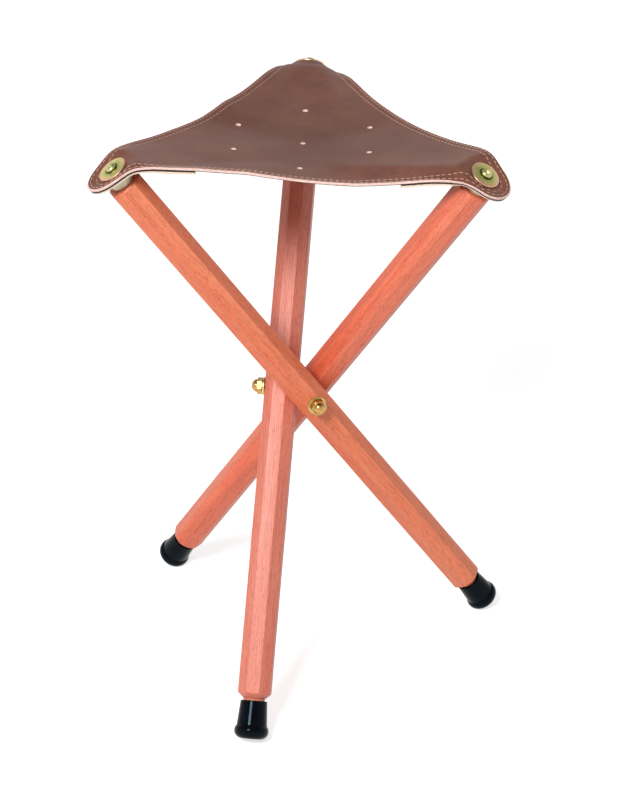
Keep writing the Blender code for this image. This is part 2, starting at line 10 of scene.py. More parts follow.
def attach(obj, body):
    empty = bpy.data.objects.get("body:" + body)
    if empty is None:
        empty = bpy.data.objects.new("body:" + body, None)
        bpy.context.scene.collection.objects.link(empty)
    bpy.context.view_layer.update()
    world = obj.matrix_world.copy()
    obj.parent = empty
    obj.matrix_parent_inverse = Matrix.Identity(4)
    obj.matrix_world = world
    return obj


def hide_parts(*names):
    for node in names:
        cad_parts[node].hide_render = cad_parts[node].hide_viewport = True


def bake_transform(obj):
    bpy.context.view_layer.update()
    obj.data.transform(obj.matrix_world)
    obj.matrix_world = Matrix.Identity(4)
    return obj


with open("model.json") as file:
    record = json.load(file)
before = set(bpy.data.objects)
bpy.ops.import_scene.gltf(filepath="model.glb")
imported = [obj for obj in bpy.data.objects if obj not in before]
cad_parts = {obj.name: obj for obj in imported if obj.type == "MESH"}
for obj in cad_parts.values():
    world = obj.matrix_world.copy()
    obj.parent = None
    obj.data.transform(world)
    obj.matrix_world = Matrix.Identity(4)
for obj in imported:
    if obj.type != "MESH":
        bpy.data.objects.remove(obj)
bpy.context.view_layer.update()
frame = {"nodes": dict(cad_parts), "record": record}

RECORD = frame["record"]
JOINTS = {joint["name"]: joint for joint in RECORD["behaviour"]["joints"]}
HUB = Vector(JOINTS["leg_1_fold"]["pos_m"])
OPEN_ANGLE = radians(JOINTS["leg_1_fold"]["range_deg"][1])
CORNERS = (1, 2, 3)
UP = Vector((0, 0, 1))

# Sizes of the solids, as the part's source gives them
FIT = 0.0003
LEG_ACROSS_FLATS = 0.028
LEG_BELOW_PIVOT = 0.267
LEG_ABOVE_PIVOT = 0.279
LEG_TOP_CHAMFER = 0.0025
LEG_TAPER = 0.0055
LEG_CROSSING_GAP = 0.0004
SPIGOT_DIAMETER = 0.0186
SPIGOT_LENGTH = 0.021
ARM_DIAMETER = 0.008
PIVOT_WASHER_DIAMETER = 0.016
PIVOT_WASHER_THICKNESS = 0.0016
NUT_ACROSS_FLATS = 0.013
NUT_HEX_HEIGHT = 0.0055
NUT_DOME_HEIGHT = 0.0047
THREAD_IN_NUT = 0.007
FOOT_RIM_GAP = 0.0015
FOOT_LENGTH = 0.033
FOOT_RIM_DIAMETER = 0.0233
FOOT_NECK_DIAMETER = 0.0263
FOOT_BULB_DIAMETER = 0.0300
FOOT_BULB_ROUNDING = 0.007
SPACER_HEIGHT = 0.008
SPACER_TOP_DIAMETER = 0.022
SPACER_BASE_DIAMETER = 0.0205
SCREW_DIAMETER = 0.006
SCREW_HEAD_DIAMETER = 0.0092
SCREW_HEAD_HEIGHT = 0.0027
SCREW_HEAD_FLAT = 0.0050
SOCKET_ACROSS_FLATS = 0.0034
SOCKET_DEPTH = 0.0016
SEAT_WASHER_DIAMETER = 0.025
SEAT_WASHER_THICKNESS = 0.0014
SEAT_WASHER_DISH = 0.0007
LEATHER_THICKNESS = 0.0025
PATCH_THICKNESS = 0.0022
PATCH_REACH = 0.052
SEAT_WAIST = 0.094
SEAT_DIP = 0.0085
EDGE_RISE = 0.0075
CORNER_RISE = 0.0225
CREST_SOFTNESS = 0.007
AIR_HOLE_DIAMETER = 0.0048
AIR_HOLE_RING = 0.064
CREASE_FROM_AXIS = 0.004
FIN_TURN = radians(30)

# Sizes of the finish
EDGE_ROUNDING = 0.0008
SPIGOT_BEVEL = 0.0015
TURNING_MARGIN = 0.004
SCREW_BORE_DEPTH = 0.040
LEG_BORE_MARGIN = 0.002
NUT_BORE_MARGIN = 0.001
FOOT_LIP = 0.0008
COVE_LENGTH = 0.0016
COVE_BEND = (0.0001, 0.0003)
COVE_TURN = 0.12
AXIS_GAP = 0.00005
NUT_SHOULDER = 0.0050
NUT_CAP_DIAMETER = 0.0113
NUT_CAP_TURN = 1.5
NUT_WAIST = 0.0004
NUT_CHAMFER = 0.0009
NUT_FACE_SHARE = 0.96
NUT_FILLET = 0.0004
WASHER_EASE = 0.0003
COLLAR_BAND = 0.0012
COLLAR_EASE = 0.0005
DISH_BAND = 0.003
DISH_LIFT = 0.0002
DISH_EASE = 0.0005
SCREW_LENGTH = 0.036
SHANK_BEVEL = 0.0008
HEAD_EASE = 0.0003
HEAD_SIDE = 0.0006
SOCKET_FILLET = 0.0002
TIP_OFFSET = 0.0020
TIP_RADIUS = 0.0195
LEATHER_ROUNDING = 0.0011
LEATHER_EDGE_SHARE = 0.45
PATCH_END = 0.0012
PATCH_WIDEST = radians(30)
DRILL_REACH = 0.012
STITCH_PITCH = 0.0046
STITCH_LENGTH = 0.0036
THREAD_RADIUS = 0.00038
STITCH_ROWS = (0.0028, 0.0074)
GRAIN_SHIFT = (0.11, 0.037, 0.71)

# Making of the meshes
SHARP = radians(40)
MERGE_DISTANCE = 1e-7
CUT_DISTANCE = 1e-6
EASE_LIMIT = 0.45
UNLIMITED = 1.0
ROUND_SEGMENTS = 72
CAP_POINTS = 22
HEAD_POINTS = 16
COVE_SHARES = np.linspace(0, 0.9, 6)
RIM_SHARES = np.array((0.62, 0.32, 0.12, 0.0))
COARSE_STEP = radians(1.4)
FINE_STEP = radians(0.4)
FINE_REACH = radians(13)
PANEL_RINGS = 84
PATCH_RINGS = 26
ROW_POINTS = 800
CUT_STEPS = 400
SEARCH_STEPS = 3000
SLOPE_STEP = 0.0004
TANGENT_STEP = 1e-4
THREAD_SEGMENTS = 8
THREAD_RINGS = 6

# Where the worn seat leaves its even shape; both tables have azimuth about the hub in degrees, height in mm
EDGE_SWAY = ((-39, -6.5), (-32, -2.0), (-22, 0.0), (0, 0.0), (40, -1.0), (70, -3.0), (80, -6.0), (92, -2.0),
             (100, -3.0), (108, 0.0), (124, 1.5), (136, 3.5), (158, 0.5), (180, 0.5), (198, -1.5),
             (211, -1.0), (219, -1.0), (230, 3.0), (246, 3.5), (270, -1.2), (296, -5.5), (321, -6.5))
HOLE_RING_SWAY = ((-30, 2.5), (30, -1.0), (90, 1.5), (150, -1.0), (210, 4.0), (270, 0.5), (330, 2.5))
SWAY_STEPS = 720
EDGE_SMOOTHING = 15
RING_SMOOTHING = 61
EDGE_BAND = 0.050
HOLLOW_START = 0.058
HOLLOW_MARGIN = 0.030
RIDGE_LENGTH = 0.050
WASHER_HOLD = 0.0125
WASHER_RELEASE = 0.030
CREST_SPREAD = 0.012
CREST_START = 0.016
CREST_LENGTH = 0.032
TAB_LIFT = {1: -0.0050, 2: 0.0034, 3: 0.0036}
TAB_LIFT_START = 0.011
TAB_LIFT_LENGTH = 0.010

# Light and camera
WORLD_LIGHT = 0.34
BACKDROP_TOP = (0.34, 0.68)
FLOOR_LIFT = 0.66
FLOOR_TONE = 0.8
FLOOR_HALF = 6
KEY_POWER = 52.0
KEY_SIZE = 0.7
KEY_PLACE = Vector((-0.75, -1.7, 1.95))
KEY_TARGET = Vector((0, 0, 0.3))
CAMERA_AZIMUTH = radians(1.609)
CAMERA_ELEVATION = radians(27.89)
CAMERA_ROLL = radians(0.22)
CAMERA_DISTANCE = 2.0237
CAMERA_RIGHT = 0.0149
CAMERA_DROP = 0.0113
CAMERA_FOCAL_PIXELS = 2300
PICTURE_HEIGHT = 800
SENSOR = 36.0

# Worked out from the sizes above
THIRD = 2 * pi / 3
SIXTH = pi / 3
HALF_LEG = LEG_ACROSS_FLATS / 2
LEG_CORNER = HALF_LEG / cos(pi / 8)
LEAN_SLOPE = sin(OPEN_ANGLE) / cos(OPEN_ANGLE)
ARM_RADIUS = (2 * LEG_CORNER + LEG_CROSSING_GAP) * sqrt(3 + 0.75 * LEAN_SLOPE ** 2) / 3
WASHER_BASE = ARM_RADIUS + HALF_LEG + FIT
NUT_BASE = WASHER_BASE + PIVOT_WASHER_THICKNESS + FIT
FOOT_RIM = LEG_BELOW_PIVOT + LEG_TAPER + FOOT_RIM_GAP
BULB_CENTRE = FOOT_RIM + FOOT_LENGTH - FOOT_BULB_ROUNDING
BULB_CORE = FOOT_BULB_DIAMETER / 2 - FOOT_BULB_ROUNDING
SPACER_BASE = LEG_ABOVE_PIVOT + FIT
PATCH_BASE = SPACER_BASE + SPACER_HEIGHT + FIT
LEATHER_BASE = PATCH_BASE + PATCH_THICKNESS + FIT
LEATHER_MIDDLE = LEATHER_BASE + LEATHER_THICKNESS / 2
SEAT_WASHER_BASE = LEATHER_BASE + LEATHER_THICKNESS + FIT
SCREW_SEAT = SEAT_WASHER_BASE + SEAT_WASHER_DISH + SEAT_WASHER_THICKNESS + FIT
SCREW_HOLE_RADIUS = SCREW_DIAMETER / 2 + FIT
AIR_HOLE_RADIUS = AIR_HOLE_DIAMETER / 2

# One corner seen from the hub: x outwards, y to the left, z up
CORNER_LEAD = atan2(ARM_RADIUS, LEATHER_MIDDLE * sin(OPEN_ANGLE))
ARM = Vector((sin(CORNER_LEAD), cos(CORNER_LEAD), 0))
LEAN = Vector((cos(CORNER_LEAD), -sin(CORNER_LEAD), 0))
LEG_AXIS = LEAN * sin(OPEN_ANGLE) + UP * cos(OPEN_ANGLE)
SCREW_POINT = ARM * ARM_RADIUS + LEG_AXIS * LEATHER_MIDDLE
SCREW_REACH = SCREW_POINT.x
SEAT_CENTRE_Z = SCREW_POINT.z - SEAT_DIP
TREFOIL = (CORNER_RISE / SCREW_REACH ** 2 - EDGE_RISE / SEAT_WAIST ** 2) / (SCREW_REACH + SEAT_WAIST)
DISH = EDGE_RISE / SEAT_WAIST ** 2 + TREFOIL * SEAT_WAIST
FOLD = Matrix.Rotation(OPEN_ANGLE, 3, LEG_AXIS.cross(UP))
CREASE_CLOSED = Vector((CREASE_FROM_AXIS * cos(FIN_TURN), CREASE_FROM_AXIS * sin(FIN_TURN),
                        (FOLD @ SCREW_POINT).z))
CREASE_POINT = FOLD.transposed() @ CREASE_CLOSED
CREASE_AZIMUTH = atan2(CREASE_POINT.y, CREASE_POINT.x)
PATCH_BELOW = LEATHER_THICKNESS / 2 + FIT + PATCH_THICKNESS / 2
PATCH_INNER = SCREW_REACH - PATCH_REACH


def corner_azimuth(corner):
    """Direction of a seat corner; corner 1 is the back one."""
    return pi / 2 + (corner - 1) * THIRD


def corner_frame(corner):
    """From a corner's own frame at the hub to the world."""
    return Matrix.Translation(HUB) @ Matrix.Rotation(corner_azimuth(corner), 4, "Z")


def leg_frame(corner):
    """From an open leg's frame to the world: X out along its arm, Z up the leg, origin at the pivot."""
    turn = Matrix((ARM, LEG_AXIS.cross(ARM), LEG_AXIS)).transposed()
    return corner_frame(corner) @ Matrix.Translation(ARM * ARM_RADIUS) @ turn.to_4x4()


def arm_frame(corner):
    """From an arm's frame to the world: Z out along the arm, origin at the hub centre."""
    turn = Matrix((UP, UP.cross(ARM) * -1, ARM)).transposed()
    return corner_frame(corner) @ turn.to_4x4()


# Materials

def srgb(red, green, blue):
    """A colour given as 0 to 255, made linear."""
    shares = [value / 255 for value in (red, green, blue)]
    return tuple(s / 12.92 if s < 0.04045 else ((s + 0.055) / 1.055) ** 2.4 for s in shares) + (1,)


def grey(value):
    """A neutral level as a colour."""
    return (value, value, value, 1)


WHITE = (255, 255, 255)


class Nodes:
    """A node tree, and short ways to add nodes to it."""

    def __init__(self, tree):
        self.tree = tree

    def add(self, kind, settings=None, **inputs):
        """Add a node, a shader node unless its kind has the word Node.

        Inputs are constants, or sockets to link from. Underscores stand for spaces, _0 for the first input.
        """
        item = self.tree.nodes.new(kind if "Node" in kind else "ShaderNode" + kind)
        for key, value in (settings or {}).items():
            setattr(item, key, value)
        for key, value in inputs.items():
            socket = item.inputs[int(key[1:])] if key[0] == "_" else item.inputs[key.replace("_", " ")]
            self.put(socket, value)
        return item

    def put(self, socket, value):
        """Link or set one socket."""
        if isinstance(value, bpy.types.NodeSocket):
            self.tree.links.new(value, socket)
        else:
            socket.default_value = value

    def math(self, operation, first, second):
        """Two values worked together."""
        return self.add("Math", {"operation": operation}, _0=first, _1=second).outputs["Value"]


class Finish(Nodes):
    """A node material with a Principled shader."""

    def __init__(self, name, **sockets):
        self.material = bpy.data.materials.new(name)
        self.material.use_nodes = True
        super().__init__(self.material.node_tree)
        self.shader = self.tree.nodes["Principled BSDF"]
        for socket, value in sockets.items():
            self.surface(socket.replace("_", " ").title().replace("Ior", "IOR"), value)

    def surface(self, socket, value):
        """Link or set one socket of the shader."""
        self.put(self.shader.inputs[socket], value)

    def place(self, name):
        """The piece's own resting coordinates, kept in an attribute."""
        return self.add("Attribute", {"attribute_name": name}).outputs["Vector"]

    def from_axis(self, place):
        """Distance from the upright axis of the coordinates."""
        plan = self.add("VectorMath", {"operation": "MULTIPLY"}, _0=place, _1=(1, 1, 0)).outputs["Vector"]
        return self.add("VectorMath", {"operation": "LENGTH"}, _0=plan).outputs["Value"]

    def stretched(self, vector, scale):
        """The coordinates, scaled along each axis."""
        return self.add("Mapping", Vector=vector, Scale=scale).outputs["Vector"]

    def noise(self, vector, scale, detail=3.0, roughness=0.5):
        """Noise with values about one half."""
        node = self.add("TexNoise", Vector=vector, Scale=scale, Detail=detail, Roughness=roughness)
        return node.outputs["Fac"]

    def ramp(self, factor, *stops):
        """A colour ramp; stops are (place, colour), with a colour of 0 to 255 or a neutral level."""
        node = self.add("ValToRGB", Fac=factor)
        band = node.color_ramp
        while len(band.elements) < len(stops):
            band.elements.new(0.5)
        for element, (place, colour) in zip(band.elements, stops):
            element.position = place
            element.color = srgb(*colour) if isinstance(colour, tuple) else grey(colour)
        return node.outputs["Color"]

    def shaded(self, tone, share, factor, *stops):
        """A tone multiplied with a colour ramp, by a share."""
        node = self.add("Mix", {"data_type": "RGBA", "blend_type": "MULTIPLY"})
        shade = self.ramp(factor, *stops)
        for name, value in (("Factor_Float", share), ("A_Color", tone), ("B_Color", shade)):
            socket = next(item for item in node.inputs if item.identifier == name)
            self.put(socket, value)
        return next(item for item in node.outputs if item.identifier == "Result_Color")

    def bumps(self, height, strength, distance):
        """Bump the surface by a height field."""
        node = self.add("Bump", Strength=strength, Distance=distance, Height=height)
        self.surface("Normal", node.outputs["Normal"])


def beech_finish(name, dark, middle, light):
    """Steamed beech under a thin satin varnish: fine long grain with short dark flecks."""
    wood = Finish(name, coat_weight=0.08, coat_roughness=0.35, specular_ior_level=0.4)
    place = wood.place("grain_place")
    sway_tone = wood.noise(wood.stretched(place, (60, 60, 3)), 1.0, 3.0)
    bands = wood.add("TexWave", {"wave_type": "BANDS", "bands_direction": "X"},
                     Vector=wood.stretched(place, (1, 0.55, 0.03)), Scale=190.0, Distortion=7.0, Detail=3.0,
                     Detail_Scale=0.8, Detail_Roughness=0.6)
    fibre = wood.noise(wood.stretched(place, (1300, 1300, 45)), 1.0, 4.0, 0.65)
    fleck = wood.noise(wood.stretched(place, (1100, 1100, 210)), 1.0, 2.0, 0.5)
    tone = wood.ramp(sway_tone, (0.3, dark), (0.52, middle), (0.75, light))
    tone = wood.shaded(tone, 0.5, bands.outputs["Fac"], (0.0, (222, 208, 202)), (0.45, (250, 248, 246)),
                       (1.0, WHITE))
    tone = wood.shaded(tone, 0.6, fibre, (0.34, (214, 190, 180)), (0.52, (252, 252, 252)), (0.8, WHITE))
    tone = wood.shaded(tone, 0.45, fleck, (0.32, (196, 150, 132)), (0.46, WHITE))
    wood.surface("Base Color", tone)
    wood.surface("Roughness", wood.ramp(fibre, (0.3, 0.52), (0.7, 0.40)))
    wood.bumps(wood.math("ADD", fibre, fleck), 0.2, 0.0002)
    return wood.material


def leather_finish():
    """Smooth brown saddle leather: fine pebbled grain, cloudy tone, low sheen."""
    hide = Finish("saddle_leather", specular_ior_level=0.55, specular_tint=(1, 0.8, 0.6, 1))
    place = hide.place("hide_place")
    cloud = hide.noise(place, 16.0, 4.0, 0.55)
    mottle = hide.noise(place, 140.0, 3.0, 0.6)
    cells = hide.add("TexVoronoi", {"feature": "DISTANCE_TO_EDGE"}, Vector=place, Scale=820.0)
    pebble = cells.outputs["Distance"]
    pores = hide.noise(place, 1900.0, 2.0, 0.5)
    tone = hide.ramp(cloud, (0.3, (115, 68, 57)), (0.52, (127, 78, 65)), (0.74, (140, 90, 75)))
    # Painted shade and sheen: darker towards the middle of the seat, lighter towards its rim
    reach = hide.from_axis(place)
    painted_sheen_shade = hide.math("ADD", hide.math("MULTIPLY", reach, 5.0), hide.math("MULTIPLY", cloud, 0.3))
    tone = hide.shaded(tone, 1.0, painted_sheen_shade, (0.25, (226, 216, 212)), (0.75, WHITE))
    tone = hide.shaded(tone, 0.8, mottle, (0.3, (222, 214, 210)), (0.6, WHITE))
    tone = hide.shaded(tone, 0.55, pebble, (0.0, (176, 160, 154)), (0.16, WHITE))
    hide.surface("Base Color", tone)
    hide.surface("Roughness", hide.ramp(mottle, (0.25, 0.44), (0.75, 0.56)))
    dome = hide.ramp(pebble, (0.0, 0), (0.3, WHITE))
    hide.bumps(hide.math("ADD", dome, pores), 0.22, 0.00025)
    return hide.material


def raw_edge_finish(name, dark, middle, light):
    """A cut edge of leather: pale fibres in layers."""
    edge = Finish(name, roughness=0.8, sheen_weight=0.1)
    place = edge.place("hide_place")
    layers = edge.noise(edge.stretched(place, (300, 300, 2400)), 1.0, 3.0, 0.6)
    edge.surface("Base Color", edge.ramp(layers, (0.3, dark), (0.5, middle), (0.75, light)))
    edge.bumps(layers, 0.3, 0.0003)
    return edge.material


def flesh_finish():
    """The napped underside of the leather."""
    flesh = Finish("leather_flesh_side", roughness=0.9, sheen_weight=0.1, sheen_roughness=0.5)
    place = flesh.place("hide_place")
    nap = flesh.noise(place, 420.0, 6.0, 0.7)
    cloud = flesh.noise(place, 22.0, 3.0, 0.5)
    tone = flesh.ramp(cloud, (0.3, (124, 80, 66)), (0.7, (146, 100, 84)))
    tone = flesh.shaded(tone, 0.7, nap, (0.3, (190, 180, 174)), (0.65, WHITE))
    flesh.surface("Base Color", tone)
    flesh.bumps(nap, 0.5, 0.0006)
    return flesh.material


def zinc_finish():
    """Yellow passivated zinc: olive in the middle, rose gold to the rim, a dark ring of painted shade round
    the screw head.
    """
    zinc = Finish("yellow_zinc", metallic=1.0)
    place = zinc.place("disc_place")
    drift = zinc.noise(place, 170.0, 3.0, 0.55)
    spread = zinc.math("MULTIPLY", zinc.from_axis(place), 2 / SEAT_WASHER_DIAMETER)
    wander = zinc.math("ADD", spread, zinc.math("MULTIPLY", zinc.math("SUBTRACT", drift, 0.5), 0.9))
    tint = zinc.ramp(wander, (0.15, (236, 226, 190)), (0.45, (178, 184, 116)),
                     (0.66, (210, 206, 128)), (0.84, (234, 206, 138)), (1.0, (240, 194, 170)))
    # Painted shade: a dark ring just outside the screw head, where the head shades the washer
    head = SCREW_HEAD_DIAMETER / SEAT_WASHER_DIAMETER
    tone = zinc.shaded(tint, 1.0, spread, (head, WHITE), (head + 0.02, (52, 48, 34)),
                       (head + 0.07, (84, 80, 56)), (head + 0.13, WHITE))
    zinc.surface("Base Color", tone)
    scratch = zinc.noise(place, 1400.0, 3.0)
    zinc.surface("Roughness", zinc.ramp(scratch, (0.3, 0.42), (0.7, 0.28)))
    zinc.bumps(scratch, 0.05, 0.0001)
    return zinc.material


def plain_finish(name, drift, tones, grain, strength, depth, gloss=(), **sockets):
    """A material with tones, and perhaps roughness, along one noise, and a second noise as its grain."""
    plain = Finish(name, **sockets)
    place = plain.add("TexCoord").outputs["Object"]
    haze = plain.noise(place, *drift)
    plain.surface("Base Color", plain.ramp(haze, *tones))
    if gloss:
        plain.surface("Roughness", plain.ramp(haze, *gloss))
    plain.bumps(plain.noise(place, *grain), strength, depth)
    return plain.material


LEG_WOOD = {1: beech_finish("pinkish_beech", (224, 122, 98), (231, 136, 114), (236, 150, 132)),
            2: beech_finish("reddish_beech", (235, 121, 80), (242, 134, 94), (247, 149, 111)),
            3: beech_finish("russet_beech", (231, 110, 76), (238, 122, 89), (244, 138, 105))}
LEATHER = leather_finish()
RAW_EDGE = raw_edge_finish("raw_seat_edge", (206, 160, 150), (234, 196, 186), (248, 222, 213))
PATCH_EDGE = raw_edge_finish("raw_patch_edge", (204, 176, 150), (232, 210, 186), (244, 228, 208))
# Painted shade: a near-black band on the edge roundings, where the cut edge turns under and the leather
# meets its patch
SEAM_SHADE = raw_edge_finish("painted_seam_shade", (34, 24, 20), (46, 32, 27), (62, 44, 36))
FLESH = flesh_finish()
ZINC = zinc_finish()
THREAD = plain_finish("waxed_thread", (1500.0, 2.0), ((0.3, (176, 132, 112)), (0.7, (212, 172, 150))),
                      (1500.0, 2.0), 0.3, 0.0002, roughness=0.6, sheen_weight=0.2)
BRASS = plain_finish("polished_brass", (260.0, 4.0, 0.6), ((0.3, (168, 128, 72)), (0.7, (206, 168, 104))),
                     (1800.0, 2.0), 0.04, 0.0001, ((0.3, 0.3), (0.7, 0.2)), metallic=1.0)
COLLAR = plain_finish("pale_collar", (160.0, 4.0, 0.6), ((0.3, (196, 184, 150)), (0.7, (232, 222, 192))),
                      (1500.0, 2.0), 0.05, 0.0001, metallic=0.35, roughness=0.4)
RUBBER = plain_finish("black_rubber", (120.0, 5.0, 0.65), ((0.35, (5, 6, 10)), (0.75, (10, 12, 18))),
                      (900.0, 3.0), 0.05, 0.0002, ((0.4, 0.07), (0.8, 0.2)),
                      specular_ior_level=0.09, specular_tint=(0.5, 0.8, 1, 1))


# Meshes

def direction(azimuth):
    """Unit steps in plan."""
    return np.stack([np.cos(azimuth), np.sin(azimuth)], -1)


def arc(centre, radius, start, end, steps):
    """Points on a circle."""
    angles = np.linspace(start, end, steps + 1)
    return [(centre[0] + radius * cos(a), centre[1] + radius * sin(a)) for a in angles]


def between(first, last, steps):
    """Points on a straight line, with both its ends."""
    return [tuple(point) for point in np.linspace(first, last, steps + 1)]


def curve(start, bend, end, shares):
    """Points on a curve that leaves start towards bend and comes to end from bend."""
    start, bend, end = np.array((start, bend, end))
    return [tuple((1 - s) ** 2 * start + 2 * s * (1 - s) * bend + s ** 2 * end) for s in shares]


def object_from(name, mesh, *materials):
    """Link a mesh as a piece at the origin."""
    piece = bpy.data.objects.new(name, mesh)
    bpy.context.collection.objects.link(piece)
    for material in materials:
        mesh.materials.append(material)
    return piece


def mesh_from(shape, name):
    """A bmesh as a mesh."""
    mesh = bpy.data.meshes.new(name)
    shape.to_mesh(mesh)
    shape.free()
    return mesh


def smooth(mesh):
    """Shade a mesh smooth, apart from its sharp edges."""
    mesh.shade_smooth()
    mesh.set_sharp_from_angle(angle=SHARP)


def keep_result(piece):
    """Keep what a piece's modifiers make as its plain mesh."""
    view = bpy.context.evaluated_depsgraph_get()
    piece.data = bpy.data.meshes.new_from_object(piece.evaluated_get(view))
    piece.modifiers.clear()


def finish_mesh(shape, name, matrix):
    """A bmesh as a smooth mesh, carried to its place."""
    bmesh.ops.remove_doubles(shape, verts=shape.verts, dist=MERGE_DISTANCE)
    bmesh.ops.recalc_face_normals(shape, faces=shape.faces)
    mesh = mesh_from(shape, name)
    mesh.transform(matrix)
    smooth(mesh)
    return mesh


def circle_columns(count):
    """Columns of a plain round section: (angle, greatest radius)."""
    return [(2 * pi * step / count, UNLIMITED) for step in range(count)]


def polygon_columns(sides, across, fillet, along_flat=4, round_steps=3):
    """Columns of a regular section with rounded corners and a flat facing angle 0."""
    half_turn = pi / sides
    core = across / 2 - fillet
    columns = []
    for side in range(sides):
        middle = 2 * half_turn * side
        reach = core * sin(half_turn) / cos(half_turn)
        for step in range(along_flat + 1):
            offset = reach * (2 * step / along_flat - 1)
            columns.append((middle + atan2(offset, across / 2), sqrt(offset ** 2 + (across / 2) ** 2)))
        corner = direction(middle + half_turn) * core / cos(half_turn)
        for step in range(1, round_steps):
            point = corner + fillet * direction(middle + 2 * half_turn * step / round_steps)
            columns.append((atan2(point[1], point[0]), float(np.hypot(*point))))
    return columns


def skin(shape, one, two):
    """Faces between two closed rings of points."""
    for step in range(len(one)):
        after = (step + 1) % len(one)
        shape.faces.new((one[step], one[after], two[after], two[step]))


def turned(rows, columns):
    """A closed bmesh about Z: rows are (radius, height) from one end to the other, cut by the section."""
    shape = bmesh.new()
    rings = []
    for radius, height in rows:
        ring = []
        for angle, limit in columns:
            reach = min(radius, limit)
            ring.append(shape.verts.new((reach * cos(angle), reach * sin(angle), height)))
        rings.append(ring)
    for low, high in zip(rings, rings[1:]):
        skin(shape, low, high)
    shape.faces.new(rings[0])
    shape.faces.new(rings[-1])
    return shape


def spun(profile, segments=ROUND_SEGMENTS):
    """A bmesh spun about Z from a closed loop of (radius, height) points that stays off the axis."""
    shape = bmesh.new()
    rings = []
    for angle, _ in circle_columns(segments):
        spoke = direction(angle)
        rings.append([shape.verts.new((*(radius * spoke), height)) for radius, height in profile])
    for one, two in zip(rings, rings[1:] + rings[:1]):
        skin(shape, one, two)
    return shape


def eased(corners, rounding, steps=3):
    """Round the corners of a closed outline of (radius, height) points."""
    points = [np.array(corner, float) for corner in corners]
    outline = []
    for index, corner in enumerate(points):
        before = points[index - 1] - corner
        after = points[(index + 1) % len(points)] - corner
        reach = min(rounding, EASE_LIMIT * np.hypot(*before), EASE_LIMIT * np.hypot(*after))
        start = corner + before / np.hypot(*before) * reach
        end = corner + after / np.hypot(*after) * reach
        outline += curve(start, corner, end, np.linspace(0, 1, steps + 1))
    return outline


def rod(radius, low, high, matrix, segments=40):
    """A plain round mesh for boring holes."""
    shape = turned([(radius, low), (radius, high)], circle_columns(segments))
    return finish_mesh(shape, "bore", matrix)


def bored(piece, *tools):
    """Cut holes in a piece."""
    cutters = []
    for tool in tools:
        cutter = object_from("cutter", tool)
        cutters.append(cutter)
        cut = piece.modifiers.new("bore", "BOOLEAN")
        cut.operation = "DIFFERENCE"
        cut.solver = "EXACT"
        cut.material_mode = "INDEX"
        cut.object = cutter
    keep_result(piece)
    for cutter in cutters:
        bpy.data.objects.remove(cutter)
    smooth(piece.data)


def keep_place(piece, name, matrix, offset=(0, 0, 0)):
    """Store each point's resting place, in the given frame, for the material to read."""
    mesh = piece.data
    points = np.empty(len(mesh.vertices) * 3, np.float32)
    mesh.vertices.foreach_get("co", points)
    turn = np.array(matrix.inverted(), float)
    local = points.reshape(-1, 3) @ turn[:3, :3].T + turn[:3, 3] + np.array(offset)
    attribute = mesh.attributes.new(name, "FLOAT_VECTOR", "POINT")
    attribute.data.foreach_set("vector", local.astype(np.float32).ravel())


def settle(piece, body, node):
    """Ride on a body in place of a node, which is hidden."""
    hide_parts(node)
    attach(piece, body)


# Legs, feet and fittings

def fitting(name, corner, shape, matrix, material):
    """A shape as one corner's piece."""
    return object_from(f"{name}_{corner}", finish_mesh(shape, name, matrix), material)


def make_leg(corner):
    """Octagonal leg with softened arrises, turned to a cone at the foot and chamfered at the top."""
    matrix = leg_frame(corner)
    top = LEG_ABOVE_PIVOT
    chamfer = top - LEG_TOP_CHAMFER
    shoulder = -LEG_BELOW_PIVOT
    taper = shoulder - LEG_TAPER
    spigot_end = taper - SPIGOT_LENGTH
    spigot = SPIGOT_DIAMETER / 2
    wide = LEG_CORNER + FIT
    lathe = [(spigot - SPIGOT_BEVEL, spigot_end), (spigot, spigot_end + SPIGOT_BEVEL)]
    lathe += between((spigot, taper), (wide, shoulder), steps=20)
    lathe += between((wide, shoulder + TURNING_MARGIN), (wide, chamfer - TURNING_MARGIN), steps=27)
    lathe += between((wide, chamfer), (HALF_LEG - LEG_TOP_CHAMFER / 2, top), steps=11)
    shape = turned(lathe, polygon_columns(8, LEG_ACROSS_FLATS, EDGE_ROUNDING))
    piece = fitting("beech_leg", corner, shape, matrix, LEG_WOOD[corner])
    along_arm = matrix @ Matrix.Rotation(pi / 2, 4, "Y")
    bored(piece, rod(ARM_DIAMETER / 2 + FIT, -LEG_ACROSS_FLATS, LEG_ACROSS_FLATS, along_arm),
          rod(SCREW_HOLE_RADIUS, SCREW_SEAT - SCREW_BORE_DEPTH, top + LEG_BORE_MARGIN, matrix))
    keep_place(piece, "grain_place", matrix, [shift * corner for shift in GRAIN_SHIFT])
    settle(piece, f"leg_{corner}_body", f"leg_{corner}")


